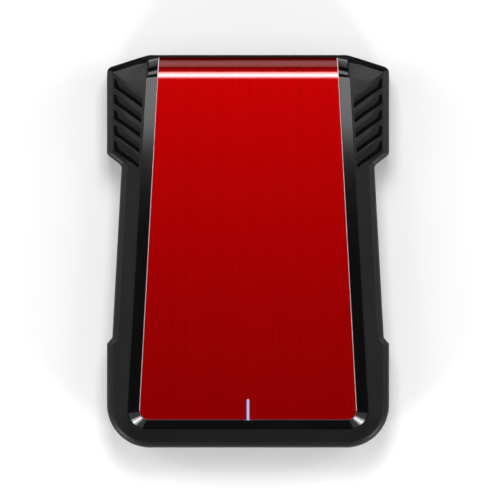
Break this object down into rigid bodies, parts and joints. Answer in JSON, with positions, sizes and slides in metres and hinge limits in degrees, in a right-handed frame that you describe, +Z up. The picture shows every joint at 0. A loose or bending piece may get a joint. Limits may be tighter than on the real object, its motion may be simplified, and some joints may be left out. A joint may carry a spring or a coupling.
{
  "type": "portable solid state drive",
  "caption": "Flat tool-free drive case with grooved ears, a red metal face plate on a sliding black lid, and a removable drive on a bridge board inside.",
  "frame": {"origin": "middle of the footprint, on the surface that the feet stand on", "axes": "+Z up through the face plate, +Y from the port end towards the eared end, +X to the right seen from above with the ears at the top"},
  "size_m": [0.0998, 0.139, 0.0252],
  "materials": {
    "matte_black_shell": "fine satin texture, dark grey-black",
    "gloss_black_lid": "piano gloss black",
    "red_brushed_metal": "red anodised, brushed lengthwise, with a bright cut edge",
    "foot_rubber": "matte",
    "foam": "fine closed-cell foam",
    "adhesive": "thin double-sided sheet",
    "clear_light_guide": "clear moulded plastic, faintly milky",
    "circuit_board": "green solder mask, satin",
    "chip_package": "matte moulded package",
    "connector_plastic": "satin",
    "gold_contacts": "gold flash, smooth",
    "plated_steel": "tin plated, smooth",
    "zinc_screws": "zinc plated",
    "black_screws": "black zinc",
    "inductor_core": "matte ferrite",
    "capacitor_ceramic": "satin, tan, with tinned ends",
    "resistor_black": "satin, black, with tinned ends",
    "thermal_silicone": "matte grey-blue silicone",
    "drive_aluminium": "fine blasted",
    "drive_cover_paint": "black powder coat"
  },
  "bodies": {
    "base": {"base_tray": "matte_black_shell", "surround_frame": "matte_black_shell", "frame_screws": "black_screws", "foot_front_left": "foot_rubber", "foot_front_right": "foot_rubber", "foot_rear_left": "foot_rubber", "foot_rear_right": "foot_rubber", "bay_pad_left": "foam", "bay_pad_right": "foam", "bridge_board": "circuit_board", "board_screws": "zinc_screws", "bridge_chip": "chip_package", "flash_chip": "chip_package", "clock_crystal": "plated_steel", "power_inductor": "inductor_core", "board_capacitors": "capacitor_ceramic", "board_resistors": "resistor_black", "sata_receptacle": "connector_plastic", "sata_receptacle_contacts": "gold_contacts", "usb_shell": "plated_steel", "usb_insulator": "connector_plastic", "usb_contacts": "gold_contacts", "activity_led": "clear_light_guide", "led_leads": "zinc_screws"},
    "lid": {"lid_shell": "gloss_black_lid", "plate_tape": "adhesive", "face_plate": "red_brushed_metal", "light_pipe": "clear_light_guide", "lid_pad": "foam"},
    "drive": {"drive_case": "drive_aluminium", "drive_cover": "drive_cover_paint", "drive_cover_screws": "zinc_screws", "drive_board": "circuit_board", "sata_plug": "connector_plastic", "sata_plug_contacts": "gold_contacts", "drive_controller": "chip_package", "controller_pad": "thermal_silicone", "cache_chip": "chip_package", "memory_chip_1": "chip_package", "memory_chip_2": "chip_package", "memory_chip_3": "chip_package", "memory_chip_4": "chip_package", "drive_capacitors": "capacitor_ceramic"}
  },
  "joints": [
    {"name": "lid_slide", "type": "slide", "parent": "base", "child": "lid", "axis": [0, 1, 0], "range_m": [0, 0.122]},
    {"name": "drive_slide", "type": "slide", "parent": "base", "child": "drive", "axis": [0, 1, 0], "range_m": [0, 0.0055]}
  ]
}
